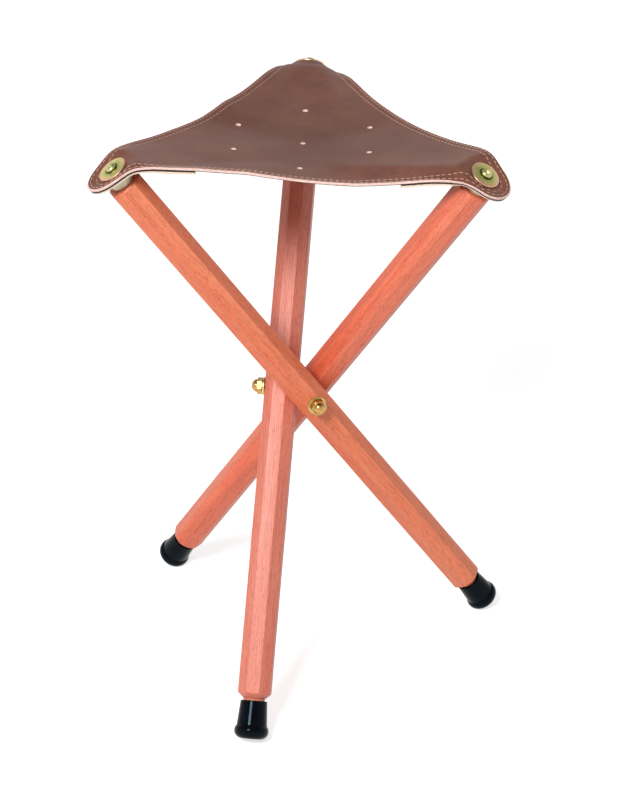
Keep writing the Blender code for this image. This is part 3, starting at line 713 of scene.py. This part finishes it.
def make_foot(corner):
    """Rubber foot: tapered sleeve, swelling to a round base worn flat on the floor."""
    bore = SPIGOT_DIAMETER / 2 + FIT
    bore_end = -(LEG_BELOW_PIVOT + LEG_TAPER + SPIGOT_LENGTH + FIT)
    rim = FOOT_RIM_DIAMETER / 2
    neck = FOOT_NECK_DIAMETER / 2
    neck_angle = acos((neck - BULB_CORE) / FOOT_BULB_ROUNDING)
    bulb = arc((BULB_CORE, -BULB_CENTRE), FOOT_BULB_ROUNDING, neck_angle - COVE_TURN, -pi / 2, steps=26)
    sleeve_end = (neck, bulb[0][1] + COVE_LENGTH)
    bend = (neck + COVE_BEND[0], bulb[0][1] + COVE_BEND[1])
    flare = curve(sleeve_end, bend, bulb[0], COVE_SHARES)
    lip = arc((rim - FOOT_LIP, -FOOT_RIM - FOOT_LIP), FOOT_LIP, pi / 2, 0, steps=5)
    inside = [(AXIS_GAP, bore_end), (bore, bore_end), (bore, -FOOT_RIM)]
    shape = spun(inside + lip + flare + bulb + [(AXIS_GAP, bulb[-1][1])])
    bmesh.ops.holes_fill(shape, edges=[edge for edge in shape.edges if edge.is_boundary])
    floor_up = Vector((0, sin(OPEN_ANGLE), cos(OPEN_ANGLE)))
    everything = shape.verts[:] + shape.edges[:] + shape.faces[:]
    cut = bmesh.ops.bisect_plane(shape, geom=everything, dist=CUT_DISTANCE, plane_co=floor_up * -HUB.z,
                                 plane_no=-floor_up, clear_outer=True)
    rim_edges = [item for item in cut["geom_cut"] if isinstance(item, bmesh.types.BMEdge)]
    bmesh.ops.edgeloop_fill(shape, edges=rim_edges)
    piece = fitting("rubber_boot", corner, shape, leg_frame(corner), RUBBER)
    settle(piece, f"leg_{corner}_body", f"rubber_foot_{corner}")


def make_nut(corner):
    """Cap nut: chamfered hexagon, short waist and polished dome over a blind thread."""
    matrix = arm_frame(corner)
    crown = NUT_BASE + NUT_HEX_HEIGHT + NUT_DOME_HEIGHT
    hex_top = NUT_BASE + NUT_SHOULDER
    flat = NUT_ACROSS_FLATS / 2
    wide = flat / cos(pi / 6) + FIT
    dome = NUT_CAP_DIAMETER / 2
    bore = ARM_DIAMETER / 2 + FIT
    low = between((flat * NUT_FACE_SHARE, NUT_BASE), (wide, NUT_BASE + NUT_CHAMFER), steps=6)
    high = between((wide, hex_top - NUT_CHAMFER), (flat, hex_top), steps=6)
    waist = (dome - NUT_WAIST, hex_top + NUT_WAIST / 2)
    base = hex_top + 2 * NUT_WAIST
    cap = [(dome * cos(a), base + (crown - base) * sin(a))
           for a in np.linspace(0, NUT_CAP_TURN, CAP_POINTS)]
    rows = [(bore, NUT_BASE)] + low + high + [waist] + cap
    shape = turned(rows, polygon_columns(6, NUT_ACROSS_FLATS, NUT_FILLET, along_flat=10))
    piece = fitting("cap_nut", corner, shape, matrix, BRASS)
    bored(piece, rod(bore, NUT_BASE - NUT_BORE_MARGIN, NUT_BASE + THREAD_IN_NUT + FIT, matrix))
    settle(piece, "hub", f"acorn_nut_{corner}")


def make_pivot_washer(corner):
    """Flat pivot washer with eased edges."""
    matrix = arm_frame(corner)
    hole = ARM_DIAMETER / 2 + FIT
    rim = PIVOT_WASHER_DIAMETER / 2
    high = WASHER_BASE + PIVOT_WASHER_THICKNESS
    outline = [(hole, WASHER_BASE), (rim, WASHER_BASE), (rim, high), (hole, high)]
    piece = fitting("arm_washer", corner, spun(eased(outline, WASHER_EASE)), matrix, ZINC)
    keep_place(piece, "disc_place", matrix)
    settle(piece, "hub", f"pivot_washer_{corner}")


def make_spacer(corner):
    """Pale tapered collar between leg and leather."""
    hole = SCREW_HOLE_RADIUS
    base = SPACER_BASE_DIAMETER / 2
    top = SPACER_TOP_DIAMETER / 2
    low = SPACER_BASE
    high = low + SPACER_HEIGHT
    outline = [(hole, low), (base, low), (base, low + COLLAR_BAND), (top, high - COLLAR_BAND), (top, high),
               (hole, high)]
    piece = fitting("seat_collar", corner, spun(eased(outline, COLLAR_EASE)), leg_frame(corner), COLLAR)
    settle(piece, f"leg_{corner}_body", f"seat_spacer_{corner}")


def make_seat_washer(corner):
    """Dished washer on the leather, rim down, with a flat under the screw head."""
    matrix = leg_frame(corner)
    rim = SEAT_WASHER_DIAMETER / 2
    low = SEAT_WASHER_BASE
    high = low + SEAT_WASHER_THICKNESS
    land = SCREW_HEAD_DIAMETER / 2 + FIT
    section = [(SCREW_HOLE_RADIUS, SEAT_WASHER_DISH), (land, SEAT_WASHER_DISH)]
    section += [(rim - DISH_BAND, DISH_LIFT), (rim, 0)]
    outline = [(radius, low + lift) for radius, lift in section]
    outline += [(radius, high + lift) for radius, lift in reversed(section)]
    piece = fitting("dished_washer", corner, spun(eased(outline, DISH_EASE), segments=96), matrix, ZINC)
    keep_place(piece, "disc_place", matrix)
    settle(piece, f"leg_{corner}_body", f"seat_washer_{corner}")


def make_screw(corner):
    """Button-head screw with a hexagon socket; the shank runs down into the leg."""
    matrix = leg_frame(corner)
    shank = SCREW_DIAMETER / 2
    shank_end = SCREW_SEAT - SCREW_LENGTH
    head = SCREW_HEAD_DIAMETER / 2
    flat = SCREW_HEAD_FLAT / 2
    crown = SCREW_SEAT + SCREW_HEAD_HEIGHT
    side = SCREW_SEAT + HEAD_SIDE
    dome = [(flat + (head - flat) * cos(a), side + (crown - side) * sin(a))
            for a in np.linspace(0, pi / 2, HEAD_POINTS)]
    rows = [(shank - SHANK_BEVEL, shank_end), (shank, shank_end + SHANK_BEVEL), (shank, SCREW_SEAT)]
    rows += [(head - HEAD_EASE, SCREW_SEAT), (head, SCREW_SEAT + HEAD_EASE)] + dome
    piece = fitting("button_screw", corner, turned(rows, circle_columns(ROUND_SEGMENTS)), matrix, ZINC)
    columns = polygon_columns(6, SOCKET_ACROSS_FLATS, SOCKET_FILLET)
    socket = turned([(UNLIMITED, crown - SOCKET_DEPTH), (UNLIMITED, crown + SOCKET_DEPTH)], columns)
    bored(piece, finish_mesh(socket, "socket", matrix))
    keep_place(piece, "disc_place", matrix)
    settle(piece, f"leg_{corner}_body", f"seat_screw_{corner}")


# Leather seat

def soft_step(value):
    """Smooth step from 0 to 1."""
    share = np.clip(value, 0, 1)
    return share * share * (3 - 2 * share)


TIP = SCREW_REACH + TIP_OFFSET
TIP_CENTRE = np.array((TIP, 0))
SIDE_RADIUS = SEAT_WAIST ** 2 - TIP * SEAT_WAIST + TIP ** 2 - TIP_RADIUS ** 2
SIDE_RADIUS /= TIP + 2 * TIP_RADIUS - 2 * SEAT_WAIST
SIDE_CENTRE = direction(SIXTH) * (SEAT_WAIST + SIDE_RADIUS)
TIP_TO_SIDE = SIDE_CENTRE - TIP_CENTRE
TOUCH = TIP_CENTRE + TIP_TO_SIDE / np.hypot(*TIP_TO_SIDE) * TIP_RADIUS
TOUCH_AZIMUTH = atan2(TOUCH[1], TOUCH[0])


def edge_radius(azimuth):
    """Distance of the cut edge from the seat centre, in a corner's frame."""
    folded = np.abs((azimuth + SIXTH) % THIRD - SIXTH)
    inside = np.maximum(TIP_RADIUS ** 2 - (TIP * np.sin(folded)) ** 2, 0)
    round_tip = TIP * np.cos(folded) + np.sqrt(inside)
    nearer = SIDE_CENTRE[0] * np.cos(folded) + SIDE_CENTRE[1] * np.sin(folded)
    side = nearer - np.sqrt(SIDE_RADIUS ** 2 - SIDE_CENTRE @ SIDE_CENTRE + nearer ** 2)
    return np.where(folded < TOUCH_AZIMUTH, round_tip, side)


def around(table, width):
    """First azimuth and even heights, in metres, of a table smoothed over a width in steps."""
    azimuths, heights = zip(*table)
    fine = np.interp(np.arange(azimuths[0], azimuths[0] + 360, 360 / SWAY_STEPS), azimuths, heights) / 1000
    kernel = np.hanning(width)
    wrapped = np.concatenate([fine[-width:], fine, fine[:width]])
    return radians(azimuths[0]), np.convolve(wrapped, kernel / kernel.sum(), "same")[width:-width]


def read_around(table, azimuth):
    """The height of a smoothed table at each azimuth."""
    first, heights = table
    place = (azimuth - first) % (2 * pi) / (2 * pi) * SWAY_STEPS
    return np.interp(place, np.arange(SWAY_STEPS + 1), np.append(heights, heights[0]))


EDGE_TABLE = around(EDGE_SWAY, EDGE_SMOOTHING)
RING_TABLE = around(HOLE_RING_SWAY, RING_SMOOTHING)


def sway(corner, x, y):
    """The slack of the worn seat, in a corner's frame: nothing under the washers."""
    reach = np.hypot(x, y)
    own = np.arctan2(y, x)
    world = own + corner_azimuth(corner)
    inside = edge_radius(own) - reach
    rim = read_around(EDGE_TABLE, world) * soft_step(1 - inside / EDGE_BAND)
    hollow = read_around(RING_TABLE, world) * soft_step(reach / HOLLOW_START)
    hollow = hollow * soft_step(inside / HOLLOW_MARGIN)
    ridge = np.exp(-(np.maximum(reach - AIR_HOLE_RING, 0) / RIDGE_LENGTH) ** 2)
    hold = 1.0
    for other in CORNERS:
        turn = corner_azimuth(other) - corner_azimuth(corner)
        distance = np.hypot(x - SCREW_REACH * cos(turn), y - SCREW_REACH * sin(turn))
        hold = hold * soft_step((distance - WASHER_HOLD) / (WASHER_RELEASE - WASHER_HOLD))
    return (rim + hollow * ridge) * hold


def seat_height(corner, x, y):
    """Height of the leather's middle layer over the hub, in a corner's frame."""
    reach = np.hypot(x, y)
    bowl = SEAT_CENTRE_Z + DISH * reach ** 2 + TREFOIL * reach ** 3 * np.cos(3 * np.arctan2(y, x))
    clamp = SCREW_POINT.z - (LEG_AXIS.x * (x - SCREW_REACH) + LEG_AXIS.y * y) / LEG_AXIS.z
    from_screw = np.hypot(x - SCREW_REACH, y)
    clamp = clamp + TAB_LIFT[corner] * soft_step((from_screw - TAB_LIFT_START) / TAB_LIFT_LENGTH)
    softness = CREST_SOFTNESS + CREST_SPREAD * soft_step((from_screw - CREST_START) / CREST_LENGTH)
    share = np.maximum(softness - np.abs(bowl - clamp), 0) / softness
    return np.minimum(bowl, clamp) - share * share * softness / 4 + sway(corner, x, y)


def seat_normal(corner, x, y):
    """Upward normals of the leather."""
    step = SLOPE_STEP
    slope_x = (seat_height(corner, x + step, y) - seat_height(corner, x - step, y)) / (2 * step)
    slope_y = (seat_height(corner, x, y + step) - seat_height(corner, x, y - step)) / (2 * step)
    normal = np.stack([-slope_x, -slope_y, np.ones_like(slope_x)], -1)
    return normal / np.linalg.norm(normal, axis=-1, keepdims=True)


def edge_plan(azimuth):
    """Plan points on the cut edge."""
    return edge_radius(azimuth)[:, None] * direction(azimuth)


def edge_point(azimuth, inset):
    """Plan points at a true distance inside the cut edge."""
    tangent = edge_plan(azimuth + TANGENT_STEP) - edge_plan(azimuth - TANGENT_STEP)
    tangent /= np.linalg.norm(tangent, axis=1, keepdims=True)
    inward = np.stack([-tangent[:, 1], tangent[:, 0]], -1)
    return edge_plan(azimuth) + inward * inset


def spokes(low, high):
    """Azimuths from low to high, closer together near the corner."""
    stops = sorted({low, high} | {stop for stop in (-FINE_REACH, FINE_REACH) if low < stop < high})
    parts = []
    for one, two in zip(stops, stops[1:]):
        step = FINE_STEP if abs((one + two) / 2) < FINE_REACH else COARSE_STEP
        parts.append(np.linspace(one, two, max(2, int(round((two - one) / step)) + 1))[:-1])
    return np.concatenate(parts + [np.array([high])])


# Material slots of a leather piece; the seam slot is painted shade where the cut edge turns under and where
# leather meets patch
TOP, CUT_EDGE, UNDERSIDE, SEAM = range(4)


def sheet_mesh(name, corner, azimuths, start_radius, rings, below, thickness, rim_slots):
    """A closed leather sheet along the azimuths, from start_radius out to the cut edge.

    The cut edge's upper and lower rounding have the two rim slots.
    """
    outer = edge_radius(azimuths)
    share = np.linspace(0, 1, rings)
    even = start_radius[:, None] + (outer - LEATHER_ROUNDING - start_radius)[:, None] * share
    radius = np.concatenate([even, outer[:, None] - RIM_SHARES * LEATHER_ROUNDING], 1)
    x = radius * np.cos(azimuths)[:, None]
    y = radius * np.sin(azimuths)[:, None]
    inset = np.concatenate([np.ones(rings), RIM_SHARES])
    fullness = np.sqrt(1 - (1 - inset) ** 2)
    half = thickness / 2 * (LEATHER_EDGE_SHARE + (1 - LEATHER_EDGE_SHARE) * fullness)
    normal = seat_normal(corner, x, y)
    middle = np.stack([x, y, seat_height(corner, x, y)], -1) - normal * below
    top = middle + normal * half[None, :, None]
    under = middle - normal * half[None, :, None]
    rows, count = radius.shape
    points = np.concatenate([top.reshape(-1, 3), under.reshape(-1, 3)])
    index = np.arange(rows * count).reshape(rows, count)
    lower = index + rows * count
    faces = []
    materials = []

    def quads(*corners, slot=CUT_EDGE):
        block = np.stack([grid.ravel() for grid in corners], -1)
        faces.append(block)
        materials.append(np.full(len(block), slot))

    flat = slice(0, rings - 1)
    rim = slice(rings - 1, count - 1)
    for part, over_slot, under_slot in ((flat, TOP, UNDERSIDE), (rim, *rim_slots)):
        later = slice(part.start + 1, part.stop + 1)
        quads(index[:-1, part], index[:-1, later], index[1:, later], index[1:, part], slot=over_slot)
        quads(lower[1:, part], lower[1:, later], lower[:-1, later], lower[:-1, part], slot=under_slot)
    quads(index[:-1, -1], lower[:-1, -1], lower[1:, -1], index[1:, -1])
    quads(index[1:, 0], lower[1:, 0], lower[:-1, 0], index[:-1, 0])
    quads(index[0, 1:], index[0, :-1], lower[0, :-1], lower[0, 1:])
    quads(index[-1, :-1], index[-1, 1:], lower[-1, 1:], lower[-1, :-1])
    mesh = bpy.data.meshes.new(name)
    mesh.from_pydata(points.tolist(), [], np.concatenate(faces).tolist())
    mesh.polygons.foreach_set("material_index", np.concatenate(materials).astype(np.int32))
    mesh.transform(corner_frame(corner))
    smooth(mesh)
    return mesh


def panel_limits(side):
    """Azimuths of a panel's two straight sides, from low to high."""
    if side > 0:
        return CREASE_AZIMUTH, CREASE_AZIMUTH + SIXTH
    return CREASE_AZIMUTH - SIXTH, CREASE_AZIMUTH


def join_to_leg(piece):
    """Bake a leather piece's transform into its mesh."""
    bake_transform(piece)


def leather_drill(corner, x, y, radius, axis):
    """A cutter for a hole through leather and patch."""
    base = Vector((x, y, float(seat_height(corner, np.array(x), np.array(y)))))
    lean = axis.to_track_quat("Z", "Y").to_matrix().to_4x4()
    matrix = corner_frame(corner) @ Matrix.Translation(base) @ lean
    return rod(radius, -DRILL_REACH, DRILL_REACH, matrix, segments=28)


def declare_sheet(corner, azimuths):
    """Work out the true length along each line from the seat centre out to the cut edge.

    A flat cut would keep the direction of each line at this length; the lengths are not kept or returned.
    """
    radius = edge_radius(azimuths)[:, None] * np.linspace(0, 1, CUT_STEPS)
    height = seat_height(corner, radius * np.cos(azimuths)[:, None], radius * np.sin(azimuths)[:, None])
    length = np.zeros_like(radius)
    length[:, 1:] = np.cumsum(np.hypot(np.diff(radius), np.diff(height)), 1)


def make_stitches(corner, side, word):
    """Two rows of stitches along the cut edge of a panel, on top and underneath, as one mesh."""
    azimuths = np.linspace(*panel_limits(side), ROW_POINTS)
    shape = bmesh.new()
    for inset in STITCH_ROWS:
        x, y = edge_point(azimuths, inset).T
        normal = seat_normal(corner, x, y)
        middle = np.stack([x, y, seat_height(corner, x, y)], -1)
        length = np.append(0, np.cumsum(np.linalg.norm(np.diff(middle, axis=0), axis=1)))
        free = (length > STITCH_PITCH / 2) & (length < length[-1] - STITCH_PITCH / 2)
        free &= np.hypot(x - SCREW_REACH, y) > SEAT_WASHER_DIAMETER / 2 + THREAD_RADIUS
        bare = x < PATCH_INNER - STITCH_LENGTH
        for lift, shown in ((LEATHER_THICKNESS / 2, free), (-LEATHER_THICKNESS / 2, free & bare)):
            before = None
            for point, keep in zip(middle + normal * lift, shown):
                vert = shape.verts.new(point) if keep else None
                if vert and before:
                    shape.edges.new((before, vert))
                before = vert
    mesh = mesh_from(shape, "stitch_lines")
    mesh.transform(corner_frame(corner))
    lines = object_from(f"stitches_{corner}_{word}", mesh)
    modifier = lines.modifiers.new("stitches", "NODES")
    modifier.node_group = STITCHING
    for name, value in (("Pitch", STITCH_PITCH), ("Length", STITCH_LENGTH), ("Radius", THREAD_RADIUS)):
        modifier[STITCH_SOCKETS[name]] = value
    keep_result(lines)
    lines.data.shade_smooth()
    return lines


def stitching_tree():
    """Running stitch along edges: evenly spaced grains of thread turned along the row."""
    tree = bpy.data.node_groups.new("running_stitch", "GeometryNodeTree")
    sockets = {}
    tree.interface.new_socket("Geometry", in_out="INPUT", socket_type="NodeSocketGeometry")
    for name in ("Pitch", "Length", "Radius"):
        socket = tree.interface.new_socket(name, in_out="INPUT", socket_type="NodeSocketFloat")
        sockets[name] = socket.identifier
    tree.interface.new_socket("Geometry", in_out="OUTPUT", socket_type="NodeSocketGeometry")
    nodes = Nodes(tree)
    given = nodes.add("NodeGroupInput").outputs
    rows = nodes.add("GeometryNodeMeshToCurve", Mesh=given["Geometry"])
    spaced = nodes.add("GeometryNodeResampleCurve", {"mode": "LENGTH"}, Curve=rows.outputs["Curve"],
                       Length=given["Pitch"])
    grain = nodes.add("GeometryNodeMeshUVSphere", Segments=THREAD_SEGMENTS, Rings=THREAD_RINGS, Radius=1.0)
    half_length = nodes.math("MULTIPLY", given["Length"], 0.5)
    size = nodes.add("CombineXYZ", X=given["Radius"], Y=given["Radius"], Z=half_length)
    tangent = nodes.add("GeometryNodeInputTangent").outputs["Tangent"]
    turn = nodes.add("FunctionNodeAlignRotationToVector", {"axis": "Z"}, Vector=tangent)
    laid = nodes.add("GeometryNodeInstanceOnPoints", Points=spaced.outputs["Curve"],
                     Instance=grain.outputs["Mesh"], Rotation=turn.outputs["Rotation"],
                     Scale=size.outputs["Vector"])
    solid = nodes.add("GeometryNodeRealizeInstances", Geometry=laid.outputs["Instances"])
    thread = nodes.add("GeometryNodeSetMaterial", Geometry=solid.outputs["Geometry"], Material=THREAD)
    nodes.add("NodeGroupOutput", Geometry=thread.outputs["Geometry"])
    return tree, sockets


STITCHING, STITCH_SOCKETS = stitching_tree()


def make_panel(corner, side, word):
    """The leather on one side of a corner's crease, with its share of the clamped corner."""
    azimuths = spokes(*panel_limits(side))
    hole = np.full(len(azimuths), AIR_HOLE_RADIUS)
    # The lower rounding of the cut edge is painted dark, as shade under the edge
    mesh = sheet_mesh("leather_panel", corner, azimuths, hole, PANEL_RINGS, 0, LEATHER_THICKNESS,
                      (CUT_EDGE, SEAM))
    piece = object_from(f"leather_{corner}_{word}", mesh, LEATHER, RAW_EDGE, FLESH, SEAM_SHADE)
    place = direction(0 if side > 0 else -SIXTH) * AIR_HOLE_RING
    tools = [leather_drill(corner, place[0], place[1], AIR_HOLE_RADIUS, UP)]
    if side > 0:
        tools.append(leather_drill(corner, SCREW_REACH, 0, SCREW_HOLE_RADIUS, LEG_AXIS))
    for tool in tools:
        tool.materials.append(LEATHER)
        tool.materials.append(RAW_EDGE)
        tool.polygons.foreach_set("material_index", np.full(len(tool.polygons), CUT_EDGE, np.int32))
    bored(piece, *tools)
    keep_place(piece, "hide_place", Matrix.Identity(4))
    nodes = [f"seat_panel_{corner}_{word}"] + ([f"seat_corner_{corner}"] if side > 0 else [])
    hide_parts(*nodes)
    stitches = make_stitches(corner, side, word)
    for item in (piece, stitches):
        join_to_leg(item)
    declare_sheet(corner, azimuths)


def make_patch(corner, side, word):
    """The second layer of leather sewn under a corner, on one side of the crease."""
    reach = next(a for a in np.linspace(PATCH_WIDEST, 0, SEARCH_STEPS)
                 if edge_radius(a) * cos(a) - PATCH_INNER > PATCH_END)
    azimuths = spokes(CREASE_AZIMUTH, reach) if side > 0 else spokes(-reach, CREASE_AZIMUTH)
    start = PATCH_INNER / np.cos(azimuths)
    # The upper rounding of the patch's edge is painted dark, as shade under the leather above
    mesh = sheet_mesh("leather_patch", corner, azimuths, start, PATCH_RINGS, PATCH_BELOW, PATCH_THICKNESS,
                      (SEAM, CUT_EDGE))
    piece = object_from(f"under_patch_{corner}_{word}", mesh, LEATHER, PATCH_EDGE, FLESH, SEAM_SHADE)
    if side > 0:
        bored(piece, leather_drill(corner, SCREW_REACH, 0, SCREW_HOLE_RADIUS, LEG_AXIS))
        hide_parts(f"corner_patch_{corner}")
    keep_place(piece, "hide_place", Matrix.Identity(4))
    join_to_leg(piece)
    declare_sheet(corner, azimuths)


for number in CORNERS:
    make_leg(number)
    make_foot(number)
    make_nut(number)
    make_pivot_washer(number)
    make_spacer(number)
    make_seat_washer(number)
    make_screw(number)
    for panel_side, panel_word in ((1, "left"), (-1, "right")):
        make_panel(number, panel_side, panel_word)
        make_patch(number, panel_side, panel_word)
# The solids that stay, inside other pieces
for hidden in ["three_way_bolt"] + [f"threaded_insert_{number}" for number in CORNERS]:
    frame["nodes"][hidden].data.materials.clear()
    frame["nodes"][hidden].data.materials.append(BRASS)


# Floor, light and camera

def seen_directly(nodes, mirrored=1.0):
    """A value of 1 on camera rays, and on glossy and transmission rays, which mirrored may weaken."""
    path = nodes.add("LightPath").outputs
    reflection = nodes.math("MAXIMUM", path["Is Glossy Ray"], path["Is Transmission Ray"])
    reflection = nodes.math("MULTIPLY", reflection, mirrored)
    return nodes.math("MAXIMUM", path["Is Camera Ray"], reflection)


def make_world():
    """Even pale light. The camera sees white; reflections see a white backdrop under a dimmer ceiling."""
    world = bpy.data.worlds.new("studio")
    bpy.context.scene.world = world
    world.use_nodes = True
    nodes = Nodes(world.node_tree)
    rise = nodes.add("SeparateXYZ", Vector=nodes.add("TexCoord").outputs["Generated"])
    low, high = BACKDROP_TOP
    backdrop = nodes.add("MapRange", {"interpolation_type": "SMOOTHSTEP"}, Value=rise.outputs["Z"],
                         From_Min=low, From_Max=high, To_Min=1.0, To_Max=0.0)
    direct = seen_directly(nodes, backdrop.outputs["Result"])
    level = nodes.add("MapRange", Value=direct, To_Min=WORLD_LIGHT, To_Max=1.0)
    background = nodes.tree.nodes["Background"]
    nodes.put(background.inputs["Color"], grey(1))
    nodes.put(background.inputs["Strength"], level.outputs["Result"])


def make_floor():
    """A plain white floor that keeps a soft shadow."""
    finish = Finish("white_floor", roughness=0.9, base_color=grey(FLOOR_TONE), emission_color=grey(1))
    lift = finish.add("MapRange", To_Max=FLOOR_LIFT, Value=seen_directly(finish))
    finish.surface("Emission Strength", lift.outputs["Result"])
    shape = bmesh.new()
    bmesh.ops.create_grid(shape, x_segments=1, y_segments=1, size=FLOOR_HALF)
    object_from("floor", mesh_from(shape, "floor"), finish.material)


def make_key_lamp():
    """A square soft lamp from the upper left."""
    data = bpy.data.lights.new("key", "AREA")
    data.shape = "SQUARE"
    data.size = KEY_SIZE
    data.energy = KEY_POWER
    lamp = bpy.data.objects.new("key", data)
    bpy.context.collection.objects.link(lamp)
    lamp.location = KEY_PLACE
    lamp.rotation_euler = (KEY_TARGET - KEY_PLACE).to_track_quat("-Z", "Y").to_euler()


def make_camera():
    """The photograph's view: from the front, looking down on the seat."""
    flat = cos(CAMERA_ELEVATION)
    back = Vector((sin(CAMERA_AZIMUTH) * flat, -cos(CAMERA_AZIMUTH) * flat, sin(CAMERA_ELEVATION)))
    level = Vector((cos(CAMERA_AZIMUTH), sin(CAMERA_AZIMUTH), 0))
    upright = back.cross(level)
    right = level * cos(CAMERA_ROLL) + upright * sin(CAMERA_ROLL)
    up = upright * cos(CAMERA_ROLL) - level * sin(CAMERA_ROLL)
    data = bpy.data.cameras.new("camera")
    data.sensor_fit = "VERTICAL"
    data.sensor_height = SENSOR
    data.lens = CAMERA_FOCAL_PIXELS / PICTURE_HEIGHT * SENSOR
    camera = bpy.data.objects.new("camera", data)
    bpy.context.collection.objects.link(camera)
    place = HUB + back * CAMERA_DISTANCE + level * CAMERA_RIGHT - UP * CAMERA_DROP
    camera.matrix_world = Matrix.Translation(place) @ Matrix((right, up, back)).transposed().to_4x4()
    bpy.context.scene.camera = camera


make_world()
make_floor()
make_key_lamp()
make_camera()
bpy.context.scene.view_settings.view_transform = "Standard"
